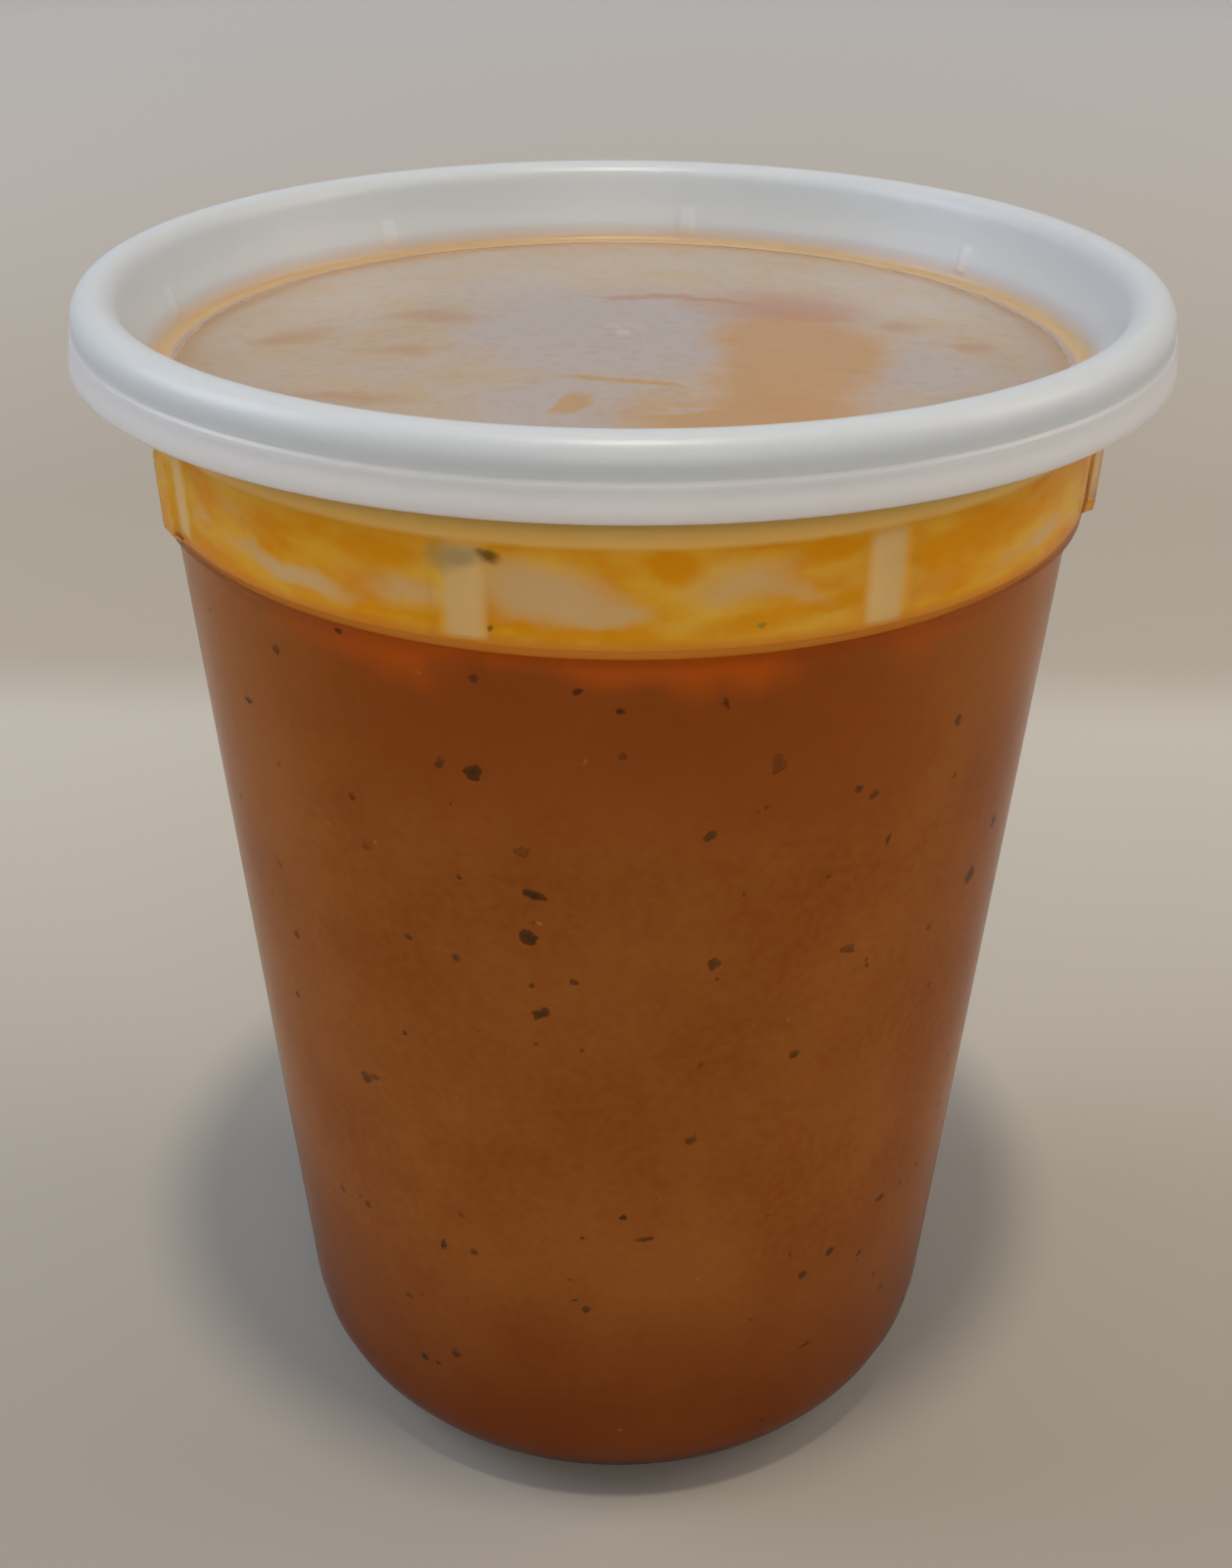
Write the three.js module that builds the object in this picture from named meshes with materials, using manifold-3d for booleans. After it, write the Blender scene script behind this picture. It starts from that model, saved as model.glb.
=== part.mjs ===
// Tomato soup in a one-quart round deli tub with a push-on lid.
// Millimetres, +Z up, origin on the table at the middle of the tub's base.
// Three separate pieces: the tub, the soup inside it and the lid on its rim.

import * as THREE from 'three';
import { mergeVertices } from 'three/addons/utils/BufferGeometryUtils.js';
import Module from 'manifold-3d';

const wasm = await Module();
wasm.setup();

// How finely the round shapes are cut.
const SEGMENTS = 48;
const CORNER_STEPS = 5;
const BEAD_STEPS = 7;

// The tub's body: a cone on a rounded base.
const WALL = 0.8;
const BODY_BASE_RADIUS = 40.9;
const BODY_TOP_RADIUS = 49.6;
const SHOULDER_HEIGHT = 119.4;
const CORNER_RADIUS = 12.1;
const FOOT_INNER_RADIUS = 24;
const FOOT_HEIGHT = 0.8;
const FLOOR_HEIGHT = 1.6;

// The collar above the shoulder ledge, and the ribs that keep nested tubs apart.
const COLLAR_RADIUS = 50.8;
const COLLAR_HEIGHT = 120.4;
const LEDGE_ROUND = 0.7;
const INNER_LEDGE_HEIGHT = 121.2;
const FLARE_HEIGHT = 130.6;
const RIB_COUNT = 8;
const RIB_PHASE = 28.7;
const RIB_RADIUS = 52.3;
const RIB_WIDTH = 4.2;
const RIB_BOTTOM = 121.3;
const RIB_ROUND = 0.9;

// The tub's rim is a bead that the lid's channel closes over.
const RIM_RADIUS = 55.3;
const RIM_HEIGHT = 140.65;
const LIP_BOTTOM = 138.2;
const FIT_GAP = 0.3;

// The lid: a sunken panel, a bead, and a skirt with a shallow step round it.
const LID_WALL = 0.8;
const LID_BEAD_RADIUS = 2.43;
const PANEL_RADIUS = 50.35;
const PANEL_HEIGHT = 133.9;
const PANEL_DOME = 2;
const PANEL_STEPS = 4;
const PANEL_FILLET = 1;
const GATE_RADIUS = 1.3;
const GATE_HEIGHT = 0.5;
const SKIRT_RADIUS = 58.5;
const SKIRT_BOTTOM = 135.9;
const STEP_RADIUS = 58.28;
const STEP_HEIGHT = 139.2;
const CATCH_HEIGHT = 137.4;
const CATCH_RADIUS = 56.4;
const BEAD_FOOT_ANGLE = -25;
const LUG_COUNT = 8;
const LUG_PHASE = 35.8;
const LUG_WIDTH = 1.3;
const LUG_DEPTH = 0.5;
const LUG_BOTTOM = 134.6;
const LUG_TOP = 138.4;

// The soup stands level with the shoulder and creeps a little up the wall.
const SOUP_LEVEL = 119.3;
const MENISCUS_RISE = 0.6;
const MENISCUS_REACH = 3;

// Angles of the tapering body and of the wall between the lid's panel and its bead.
const TAPER = Math.atan((BODY_TOP_RADIUS - BODY_BASE_RADIUS) / SHOULDER_HEIGHT);
const PLUG_RISE = RIM_HEIGHT - PANEL_HEIGHT;
const PLUG_RUN = RIM_RADIUS - PANEL_RADIUS;
const PLUG_ANGLE = Math.atan2(PLUG_RISE, PLUG_RUN)
  + Math.asin(LID_BEAD_RADIUS / Math.hypot(PLUG_RISE, PLUG_RUN));
const PLUG_TANGENT = THREE.MathUtils.radToDeg(PLUG_ANGLE) + 90;

// How far each face of that slanting wall passes from the bead's centre.
const LID_OUTER_FACE = LID_BEAD_RADIUS - LID_WALL;
const TUB_INNER_FACE = LID_OUTER_FACE - FIT_GAP;
const TUB_OUTER_FACE = TUB_INNER_FACE - WALL;

function point(radius, height) {
  return new THREE.Vector2(radius, height);
}

// Points on a round stretch of a profile, angles in degrees from outwards, upwards positive.
function arc(centre, radius, from, to, steps) {
  const points = [];
  for (let step = 0; step <= steps; step += 1) {
    const angle = THREE.MathUtils.degToRad(from + ((to - from) * step) / steps);
    points.push(point(centre.x + radius * Math.cos(angle), centre.y + radius * Math.sin(angle)));
  }
  return points;
}

// Keeps only the positions, closes the seams and drops triangles that have no area.
function closedGeometry(source) {
  source.deleteAttribute('normal');
  source.deleteAttribute('uv');
  const merged = mergeVertices(source, 1e-4);
  const corners = merged.index.array;
  const kept = [];
  for (let first = 0; first < corners.length; first += 3) {
    const [a, b, c] = corners.slice(first, first + 3);
    if (a !== b && b !== c && c !== a) {
      kept.push(a, b, c);
    }
  }
  merged.setIndex(kept);
  return merged;
}

function turned(profile) {
  return closedGeometry(new THREE.LatheGeometry(profile, SEGMENTS).rotateX(Math.PI / 2));
}

// An outline in the plane of radius and height, given a width and set round the axis.
function radialSlab(outline, width, degrees) {
  const slab = new THREE.ExtrudeGeometry(new THREE.Shape(outline), { depth: width, bevelEnabled: false });
  slab.translate(0, 0, -width / 2);
  slab.rotateX(Math.PI / 2);
  slab.rotateZ(THREE.MathUtils.degToRad(degrees));
  return closedGeometry(slab);
}

function toManifold(geometry) {
  const vertProperties = new Float32Array(geometry.attributes.position.array);
  const triVerts = new Uint32Array(geometry.index.array);
  return new wasm.Manifold(new wasm.Mesh({ numProp: 3, vertProperties, triVerts }));
}

function toGeometry(manifold) {
  const mesh = manifold.getMesh();
  const geometry = new THREE.BufferGeometry();
  geometry.setAttribute('position', new THREE.BufferAttribute(mesh.vertProperties, 3));
  geometry.setIndex(new THREE.BufferAttribute(mesh.triVerts, 1));
  return geometry;
}

// Joins equal slabs, spaced evenly round the axis, to a turned body.
function withSlabs(body, outline, width, count, phase) {
  let joined = toManifold(body);
  for (let number = 0; number < count; number += 1) {
    const slab = radialSlab(outline, width, phase + (number * 360) / count);
    joined = joined.add(toManifold(slab));
  }
  return toGeometry(joined);
}

function bodyRadius(height, inset) {
  return BODY_BASE_RADIUS + height * Math.tan(TAPER) - inset / Math.cos(TAPER);
}

// The round corner between a floor and the tapering wall, both at a given inset.
function baseCorner(inset, floor) {
  const radius = CORNER_RADIUS - floor;
  const centre = point(bodyRadius(floor + radius, inset + radius), floor + radius);
  return arc(centre, radius, -90, -THREE.MathUtils.radToDeg(TAPER), CORNER_STEPS);
}

// Radius of the slanting wall's face at a height, by the face's distance from the bead's centre.
function plugRadius(height, face) {
  return RIM_RADIUS + ((height - RIM_HEIGHT) * Math.cos(PLUG_ANGLE) - face) / Math.sin(PLUG_ANGLE);
}

function collarRadius(height, inset) {
  const top = plugRadius(FLARE_HEIGHT, TUB_OUTER_FACE);
  const share = (height - COLLAR_HEIGHT) / (FLARE_HEIGHT - COLLAR_HEIGHT);
  return COLLAR_RADIUS + (top - COLLAR_RADIUS) * share - inset;
}

function tubOutside() {
  const ledgeCentre = point(COLLAR_RADIUS - LEDGE_ROUND, COLLAR_HEIGHT);
  return [
    point(0, FOOT_HEIGHT),
    point(FOOT_INNER_RADIUS - FOOT_HEIGHT, FOOT_HEIGHT),
    point(FOOT_INNER_RADIUS, 0),
    ...baseCorner(0, 0),
    point(BODY_TOP_RADIUS, SHOULDER_HEIGHT),
    ...arc(ledgeCentre, LEDGE_ROUND, -90, 0, 2),
    point(plugRadius(FLARE_HEIGHT, TUB_OUTER_FACE), FLARE_HEIGHT),
  ];
}

function tubRim() {
  const bead = point(RIM_RADIUS, RIM_HEIGHT);
  const lipOutside = RIM_RADIUS + TUB_INNER_FACE;
  const lipInside = lipOutside - WALL;
  const underside = RIM_HEIGHT - WALL;
  return [
    point(plugRadius(underside - WALL / 2, TUB_OUTER_FACE), underside - WALL / 2),
    point(RIM_RADIUS - WALL / 2, underside),
    point(lipInside, underside - WALL / 2),
    point(lipInside, LIP_BOTTOM),
    point(lipOutside, LIP_BOTTOM),
    ...arc(bead, TUB_INNER_FACE, 0, PLUG_TANGENT, BEAD_STEPS),
  ];
}

function tubInside() {
  const ledgeTop = collarRadius(INNER_LEDGE_HEIGHT, WALL);
  return [
    point(plugRadius(FLARE_HEIGHT, TUB_INNER_FACE), FLARE_HEIGHT),
    point(ledgeTop, INNER_LEDGE_HEIGHT),
    point(ledgeTop - LEDGE_ROUND / 2, INNER_LEDGE_HEIGHT - LEDGE_ROUND),
    point(bodyRadius(COLLAR_HEIGHT, WALL), COLLAR_HEIGHT),
    ...baseCorner(WALL, FLOOR_HEIGHT).reverse(),
    point(0, FLOOR_HEIGHT),
  ];
}

// A rib stands on the collar and runs up into the flare, with a rounded lower end.
function ribOutline() {
  const root = collarRadius(RIB_BOTTOM, WALL / 2);
  const lowerRound = point(RIB_RADIUS - RIB_ROUND, RIB_BOTTOM + RIB_ROUND);
  let top = FLARE_HEIGHT;
  while (plugRadius(top, TUB_OUTER_FACE) < RIB_RADIUS) {
    top += WALL / 4;
  }
  return [
    point(root, RIB_BOTTOM),
    ...arc(lowerRound, RIB_ROUND, -90, 0, 2),
    point(RIB_RADIUS, top),
    point(plugRadius(top, TUB_OUTER_FACE + WALL / 2), top),
    point(plugRadius(FLARE_HEIGHT, TUB_OUTER_FACE + WALL / 2), FLARE_HEIGHT),
  ];
}

function makeTub() {
  const body = turned([...tubOutside(), ...tubRim(), ...tubInside()]);
  return withSlabs(body, ribOutline(), RIB_WIDTH, RIB_COUNT, RIB_PHASE);
}

function makeSoup() {
  const inset = WALL + FIT_GAP;
  const shore = bodyRadius(SOUP_LEVEL + MENISCUS_RISE, inset);
  return turned([
    point(0, FLOOR_HEIGHT + FIT_GAP),
    ...baseCorner(inset, FLOOR_HEIGHT + FIT_GAP),
    point(shore, SOUP_LEVEL + MENISCUS_RISE),
    point(shore - MENISCUS_REACH / 3, SOUP_LEVEL + MENISCUS_RISE / 4),
    point(shore - MENISCUS_REACH, SOUP_LEVEL),
    point(0, SOUP_LEVEL),
  ]);
}

// Height of the gently domed panel's upper face.
function panelHeight(radius) {
  return PANEL_HEIGHT + PANEL_DOME * (1 - (radius / PANEL_RADIUS) ** 2);
}

function lidUnderside() {
  const points = [];
  const reach = PANEL_RADIUS - PANEL_FILLET / 2;
  for (let step = 0; step <= PANEL_STEPS; step += 1) {
    const radius = (reach * step) / PANEL_STEPS;
    points.push(point(radius, panelHeight(radius) - LID_WALL));
  }
  const plugFoot = PANEL_HEIGHT + PANEL_FILLET / 4;
  points.push(point(plugRadius(plugFoot, LID_OUTER_FACE), plugFoot));
  return points;
}

function lidChannel() {
  const bead = point(RIM_RADIUS, RIM_HEIGHT);
  const channel = arc(bead, LID_OUTER_FACE, PLUG_TANGENT, BEAD_FOOT_ANGLE, BEAD_STEPS);
  const skirtInside = SKIRT_RADIUS - LID_WALL;
  return [
    ...channel,
    point(STEP_RADIUS - LID_WALL, STEP_HEIGHT - LID_WALL),
    point(CATCH_RADIUS, CATCH_HEIGHT),
    point(skirtInside, CATCH_HEIGHT - LID_WALL),
    point(skirtInside, SKIRT_BOTTOM),
  ];
}

function lidOutside() {
  const bead = point(RIM_RADIUS, RIM_HEIGHT);
  const edge = LID_WALL / 4;
  return [
    point(SKIRT_RADIUS - edge, SKIRT_BOTTOM),
    point(SKIRT_RADIUS, SKIRT_BOTTOM + edge),
    point(STEP_RADIUS, STEP_HEIGHT),
    ...arc(bead, LID_BEAD_RADIUS, BEAD_FOOT_ANGLE, PLUG_TANGENT, BEAD_STEPS + 1),
  ];
}

function lidPanel() {
  const filletTop = PANEL_HEIGHT + PANEL_FILLET;
  const points = [
    point(plugRadius(filletTop, LID_BEAD_RADIUS), filletTop),
    point(PANEL_RADIUS - PANEL_FILLET / 4, PANEL_HEIGHT + PANEL_FILLET / 4),
  ];
  for (let step = PANEL_STEPS; step > 0; step -= 1) {
    const radius = ((PANEL_RADIUS - PANEL_FILLET) * step) / PANEL_STEPS;
    points.push(point(radius, panelHeight(radius)));
  }
  const crest = panelHeight(0);
  points.push(point(GATE_RADIUS, crest));
  points.push(point(GATE_RADIUS * 0.6, crest + GATE_HEIGHT));
  points.push(point(0, crest + GATE_HEIGHT));
  return points;
}

// A lug is a low upright bar on the wall round the sunken panel.
function lugOutline() {
  const buried = LID_BEAD_RADIUS - LID_WALL / 2;
  const proud = LID_BEAD_RADIUS + LUG_DEPTH;
  return [
    point(plugRadius(LUG_BOTTOM, proud), LUG_BOTTOM),
    point(plugRadius(LUG_BOTTOM, buried), LUG_BOTTOM),
    point(plugRadius(LUG_TOP, buried), LUG_TOP),
    point(plugRadius(LUG_TOP - LUG_DEPTH, proud), LUG_TOP - LUG_DEPTH),
  ];
}

function makeLid() {
  const body = turned([...lidUnderside(), ...lidChannel(), ...lidOutside(), ...lidPanel()]);
  return withSlabs(body, lugOutline(), LUG_WIDTH, LUG_COUNT, LUG_PHASE);
}

const TRANSLUCENT_WHITE = new THREE.MeshStandardMaterial({
  color: '#d9dcdb',
  roughness: 0.35,
  metalness: 0,
  flatShading: true,
});
const CLEAR_NATURAL = new THREE.MeshStandardMaterial({
  color: '#c9a468',
  roughness: 0.3,
  metalness: 0,
  flatShading: true,
});
const TOMATO_SOUP = new THREE.MeshStandardMaterial({
  color: '#8a4a1e',
  roughness: 0.4,
  metalness: 0,
  flatShading: true,
});

function piece(name, geometry, material) {
  const mesh = new THREE.Mesh(geometry, material);
  mesh.name = name;
  return mesh;
}

const soupTub = new THREE.Group();
soupTub.add(piece('tub', makeTub(), CLEAR_NATURAL));
soupTub.add(piece('soup', makeSoup(), TOMATO_SOUP));
soupTub.add(piece('lid', makeLid(), TRANSLUCENT_WHITE));

export default soupTub;
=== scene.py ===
"""Tomato soup in a one-quart translucent tub with its push-on lid: the looks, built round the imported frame.

Outlines are worked out in millimetres as (radius, height) and turned to metres when a mesh is made.
Azimuths are in degrees from the front, positive towards +X.
"""

import math
import random

import bpy
from mathutils import Matrix, Vector


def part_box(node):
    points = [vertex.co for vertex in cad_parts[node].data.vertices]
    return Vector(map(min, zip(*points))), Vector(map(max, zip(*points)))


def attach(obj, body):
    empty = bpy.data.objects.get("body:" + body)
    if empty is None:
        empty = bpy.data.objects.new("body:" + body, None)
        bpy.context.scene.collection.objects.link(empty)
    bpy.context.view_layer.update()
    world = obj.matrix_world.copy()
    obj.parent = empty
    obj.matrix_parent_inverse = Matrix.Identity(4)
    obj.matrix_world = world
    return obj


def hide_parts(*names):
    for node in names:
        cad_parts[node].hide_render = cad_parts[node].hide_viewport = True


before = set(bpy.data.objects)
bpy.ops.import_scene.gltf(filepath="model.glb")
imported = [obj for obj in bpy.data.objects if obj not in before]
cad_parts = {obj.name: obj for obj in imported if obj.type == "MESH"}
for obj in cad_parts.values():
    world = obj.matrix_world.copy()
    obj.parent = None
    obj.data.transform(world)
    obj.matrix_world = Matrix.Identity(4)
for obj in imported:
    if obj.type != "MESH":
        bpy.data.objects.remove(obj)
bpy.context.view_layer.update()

MM = 0.001
TURN = 2 * math.pi

# Heights and radii read from the frame, in millimetres.
LID_LOW, LID_HIGH = [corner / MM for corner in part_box("lid")]
SKIRT_RADIUS = LID_HIGH.x
LID_TOP = LID_HIGH.z
SHORE_HEIGHT = (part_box("soup")[1] / MM).z

# The tub's body: a cone on a rounded base.
WALL = 0.8
BASE_RADIUS = 40.9
SHOULDER_RADIUS = 49.6
SHOULDER_HEIGHT = 119.4
BASE_ROUND = 12.1
FOOT_RADIUS = 24.0
FOOT_HEIGHT = 0.8
FLOOR_HEIGHT = 1.6
TAPER = math.atan((SHOULDER_RADIUS - BASE_RADIUS) / SHOULDER_HEIGHT)

# The collar over the shoulder, its ribs, and the flare under the rim.
COLLAR_RADIUS = 50.8
COLLAR_HEIGHT = 120.4
FLARE_HEIGHT = 130.6
RIB_COUNT = 8
RIB_PHASE = 28.7
RIB_WIDTH = 3.9
RIB_DEPTH = 1.15
RIB_BOTTOM = 121.3
RIB_BOTTOM_FADE = 0.7
RIB_TOP = 131.8
RIB_TOP_FADE = 2.2

# The rim's bead, the lid's channel round it, and the sunken panel.
LID_WALL = 0.8
LID_BEAD = 2.43
RIM_RADIUS = 55.3
RIM_HEIGHT = LID_TOP - LID_BEAD
LIP_BOTTOM = 138.2
FIT_GAP = 0.3
PANEL_RADIUS = 50.35
PANEL_HEIGHT = LID_LOW.z + LID_WALL - 0.04
PANEL_DOME = 2.0
STEP_HEIGHT = 139.2
SKIRT_BOTTOM = 135.9
CATCH_HEIGHT = 137.4
CATCH_RADIUS = 56.4
LUG_COUNT = 8
LUG_PHASE = 35.8
LUG_WIDTH = 0.9
LUG_DEPTH = 0.14
LUG_BOTTOM = 134.8
LUG_BOTTOM_FADE = 0.4
LUG_TOP = 138.2
LUG_TOP_FADE = 0.8

# Fine sizes for the visible surfaces.
SOAK = 0.15            # how far soup and film reach into the wall, so no air shows between them
ROUND_STEP = 14        # degrees turned by each facet of a rounded corner
STRAIGHT_STEP = 4.0    # longest straight stretch of an outline
FINE_STEP = 0.3        # the same where bars rise from the wall
EDGE_SOFT = 1.1        # how wide the side of a rib is
LUG_SOFT = 0.8         # the same for a lug
PLAIN_SEGMENTS = 192
BEAD_ROUNDING = 0.98   # the share of a bead's radius by which its corners are rounded
DOME_TOP_END = 2.2     # how far inside the sunken panel's edge its domed top face ends
DOME_UNDER_END = 1.2   # the same for its underside and the film there
COLLAR_FILM_TOP = 133.3
PANEL_FILM_TOP = 135.6
STREWN_LOW = 8         # small bits are strewn between these heights
STREWN_HIGH = 118
LEAF_THICKNESS = 0.04
LARGE_RARITY = 2.2     # the higher it is, the rarer the large bits are


# -------- outlines

def body_radius(height, inset=0.0):
    return BASE_RADIUS + height * math.tan(TAPER) - inset / math.cos(TAPER)


def panel_height(radius):
    return PANEL_HEIGHT + PANEL_DOME * (1 - (radius / PANEL_RADIUS) ** 2)


def domed(reach, steps):
    """Points on the sunken panel's dome, evenly spaced from the axis out to a radius."""
    return [(reach * step / steps, panel_height(reach * step / steps)) for step in range(steps + 1)]


PLUG_RISE = RIM_HEIGHT - PANEL_HEIGHT
PLUG_RUN = RIM_RADIUS - PANEL_RADIUS
PLUG_ANGLE = math.atan2(PLUG_RISE, PLUG_RUN) + math.asin(LID_BEAD / math.hypot(PLUG_RISE, PLUG_RUN))
LID_UNDER = LID_BEAD - LID_WALL
TUB_FACE = LID_UNDER - FIT_GAP
TUB_BACK = TUB_FACE - WALL


def plug_radius(height, face):
    """Radius of the slanting wall's face at a height; face is its distance from the bead's centre."""
    rise = (height - RIM_HEIGHT) * math.cos(PLUG_ANGLE)
    return RIM_RADIUS + (rise - face) / math.sin(PLUG_ANGLE)


def collar_radius(height, inset=0.0):
    top = plug_radius(FLARE_HEIGHT, TUB_BACK)
    share = (height - COLLAR_HEIGHT) / (FLARE_HEIGHT - COLLAR_HEIGHT)
    return COLLAR_RADIUS + (top - COLLAR_RADIUS) * share - inset


def rounded(corners, closed=False):
    """Turns corners given as (radius, height, rounding) into points, each rounding as an arc."""
    count = len(corners)
    points = []
    for number, (radius, height, rounding) in enumerate(corners):
        here = Vector((radius, height))
        end = not closed and number in (0, count - 1)
        if rounding <= 0 or end:
            points.append(here)
            continue
        before = (Vector(corners[number - 1][:2]) - here).normalized()
        after = (Vector(corners[(number + 1) % count][:2]) - here).normalized()
        half = before.angle(after) / 2
        reach = rounding / math.tan(half)
        centre = here + (before + after).normalized() * (rounding / math.sin(half))
        spoke = here + before * reach - centre
        turn = math.pi - 2 * half
        if before.x * after.y - before.y * after.x > 0:
            turn = -turn
        steps = max(2, math.ceil(abs(math.degrees(turn)) / ROUND_STEP))
        for step in range(steps + 1):
            points.append(centre + Matrix.Rotation(turn * step / steps, 2) @ spoke)
    return points


def divided(points, bands=(), closed=False):
    """Splits long stretches; inside a band (low, high) of heights the stretches are fine."""
    result = []
    last = len(points) if closed else len(points) - 1
    for number in range(last):
        here, there = points[number], points[(number + 1) % len(points)]
        middle = (here.y + there.y) / 2
        low, high = min(here.y, there.y), max(here.y, there.y)
        fine = any(low < top and high > bottom for bottom, top in bands)
        longest = FINE_STEP if fine and abs(there.y - here.y) > FINE_STEP else STRAIGHT_STEP
        steps = max(1, math.ceil((there - here).length / longest))
        result.extend(here.lerp(there, step / steps) for step in range(steps))
    if not closed:
        result.append(points[-1])
    return result


def even_angles(count=PLAIN_SEGMENTS):
    return [TURN * step / count for step in range(count)]


def bar_angles(count, phase, width, side, radius, between=16):
    """Angles round the axis, close together at the sides of evenly spaced bars."""
    half = width / 2
    beside = [half + side * share for share in (1.6, 1.0, 0.8, 0.6, 0.4, 0.2, 0.0, -0.8)]
    across = [0.0] + [way * offset for offset in beside for way in (-1, 1)]
    pitch = TURN / count
    reach = (half + 1.6 * side) / radius
    rest = [reach + (pitch - 2 * reach) * step / between for step in range(1, between)]
    angles = []
    for number in range(count):
        middle = math.radians(phase) + pitch * number
        angles.extend(middle + offset / radius for offset in across)
        angles.extend(middle + offset for offset in rest)
    return sorted(angle % TURN for angle in angles)


# -------- meshes

def shown(name, mesh):
    """A smoothly shaded object of a mesh, in the scene."""
    mesh.polygons.foreach_set("use_smooth", [True] * len(mesh.polygons))
    piece = bpy.data.objects.new(name, mesh)
    bpy.context.scene.collection.objects.link(piece)
    return piece


def new_piece(name, vertices, faces, material=None):
    mesh = bpy.data.meshes.new(name)
    mesh.from_pydata(vertices, [], faces)
    mesh.update()
    if material:
        mesh.materials.append(material)
    return shown(name, mesh)


def turned_piece(name, outline, angles, closed=False, lift=None, material=None):
    """Turns an outline round the upright axis. A closed outline makes a ring, and an open one that
    starts and ends on the axis a body. lift(radius, height, angle) moves a point up by millimetres."""
    vertices, rings, faces = [], [], []
    for point in outline:
        if point.x < 1e-6:
            rings.append([len(vertices)])
            vertices.append((0, 0, point.y * MM))
            continue
        rings.append(list(range(len(vertices), len(vertices) + len(angles))))
        for angle in angles:
            height = point.y + (lift(point.x, point.y, angle) if lift else 0)
            vertices.append((point.x * math.cos(angle) * MM, point.x * math.sin(angle) * MM, height * MM))
    pairs = list(zip(rings, rings[1:]))
    if closed:
        pairs.append((rings[-1], rings[0]))
    around = len(angles)
    for lower, upper in pairs:
        for step in range(around):
            after = (step + 1) % around
            if len(lower) == 1:
                faces.append((lower[0], upper[after], upper[step]))
            elif len(upper) == 1:
                faces.append((lower[step], lower[after], upper[0]))
            else:
                faces.append((lower[step], lower[after], upper[after], upper[step]))
    return new_piece(name, vertices, faces, material)


def drop(piece):
    bpy.data.objects.remove(piece)


def note(piece, label, values):
    """Writes an attribute with one number for each vertex."""
    attribute = piece.data.attributes.new(label, "FLOAT", "POINT")
    attribute.data.foreach_set("value", values)


# -------- node helpers

def linear(code):
    """An sRGB hex colour as linear red, green, blue and alpha."""
    parts = [int(code[start:start + 2], 16) / 255 for start in (1, 3, 5)]
    return [part / 12.92 if part <= 0.04045 else ((part + 0.055) / 1.055) ** 2.4 for part in parts] + [1.0]


SMOOTH = {"interpolation_type": "SMOOTHSTEP"}      # a Map Range that eases in and out


def add(tree, kind, inputs=(), out=0, **settings):
    """Adds a node with its settings and gives its output 'out', or all its outputs where out is None.
    The inputs are listed in the node's own order or keyed by socket. Each is a plain value, a hex colour
    or the output that feeds it. A kind that names no other family is a shader node."""
    family = "" if kind.startswith(("Geometry", "Function", "NodeGroup")) else "ShaderNode"
    node = tree.nodes.new(family + kind)
    for setting, value in settings.items():
        setattr(node, setting, value)
    for socket, value in inputs.items() if isinstance(inputs, dict) else enumerate(inputs):
        if isinstance(value, bpy.types.NodeSocket):
            tree.links.new(value, node.inputs[socket])
            continue
        if isinstance(value, str) and value.startswith("#"):
            value = linear(value)
        node.inputs[socket].default_value = value
    return node.outputs if out is None else node.outputs[out]


def new_tree(name, sizes, **others):
    """A Geometry Nodes tree with a geometry in and out, a material, sizes and other inputs by name. Gives
    the tree and what goes in."""
    tree = bpy.data.node_groups.new(name, "GeometryNodeTree")
    kinds = {"Geometry": "Geometry", "Material": "Material", **dict.fromkeys(sizes, "Float"), **others}
    for label, kind in kinds.items():
        tree.interface.new_socket(label, in_out="INPUT", socket_type="NodeSocket" + kind)
    tree.interface.new_socket("Geometry", in_out="OUTPUT", socket_type="NodeSocketGeometry")
    return tree, add(tree, "NodeGroupInput", out=None)


def end_tree(tree, geometry, material):
    """Ends a tree: its instances become real faces, which take the material."""
    whole = add(tree, "GeometryNodeRealizeInstances", [geometry])
    dressed = add(tree, "GeometryNodeSetMaterial", {"Geometry": whole, "Material": material})
    add(tree, "NodeGroupOutput", [dressed], None)
    return tree


def grown(name, base, tree, values):
    """Runs a tree on a base object and gives its result as a new piece with a plain mesh."""
    modifier = base.modifiers.new(tree.name, "NODES")
    modifier.node_group = tree
    for item in tree.interface.items_tree:
        if item.item_type == "SOCKET" and item.in_out == "INPUT" and item.name in values:
            modifier[item.identifier] = values[item.name]
    graph = bpy.context.evaluated_depsgraph_get()
    mesh = bpy.data.meshes.new_from_object(base.evaluated_get(graph), depsgraph=graph)
    drop(base)
    mesh.name = name
    return shown(name, mesh)


def pitch_share(tree, split, count, phase):
    """How far round the axis a place lies from the nearest of even bars, as a share of their pitch."""
    angle = add(tree, "Math", [split[1], split[0]], operation="ARCTAN2")
    turned = add(tree, "Math", [angle, phase], operation="SUBTRACT")
    counted = add(tree, "Math", [turned, count], operation="MULTIPLY")
    pitches = add(tree, "Math", [counted, TURN], operation="DIVIDE")
    return add(tree, "Math", [pitches, 0.5], operation="PINGPONG")


def axis_distance(tree, split):
    """A place at height 0, and how far it lies from the upright axis."""
    flat = add(tree, "CombineXYZ", [split[0], split[1]])
    return flat, add(tree, "VectorMath", [flat], "Value", operation="LENGTH")


def laid_over(tree, colour, layers):
    """Lays colours over a first one in turn. A layer is its colour, then one or more shares, whose product
    says how much it covers."""
    for tint, cover, *others in layers:
        for share in others:
            cover = add(tree, "Math", [cover, share], operation="MULTIPLY")
        colour = add(tree, "Mix", {0: cover, 6: colour, 7: tint}, 2, data_type="RGBA")
    return colour


# -------- geometry trees

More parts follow.
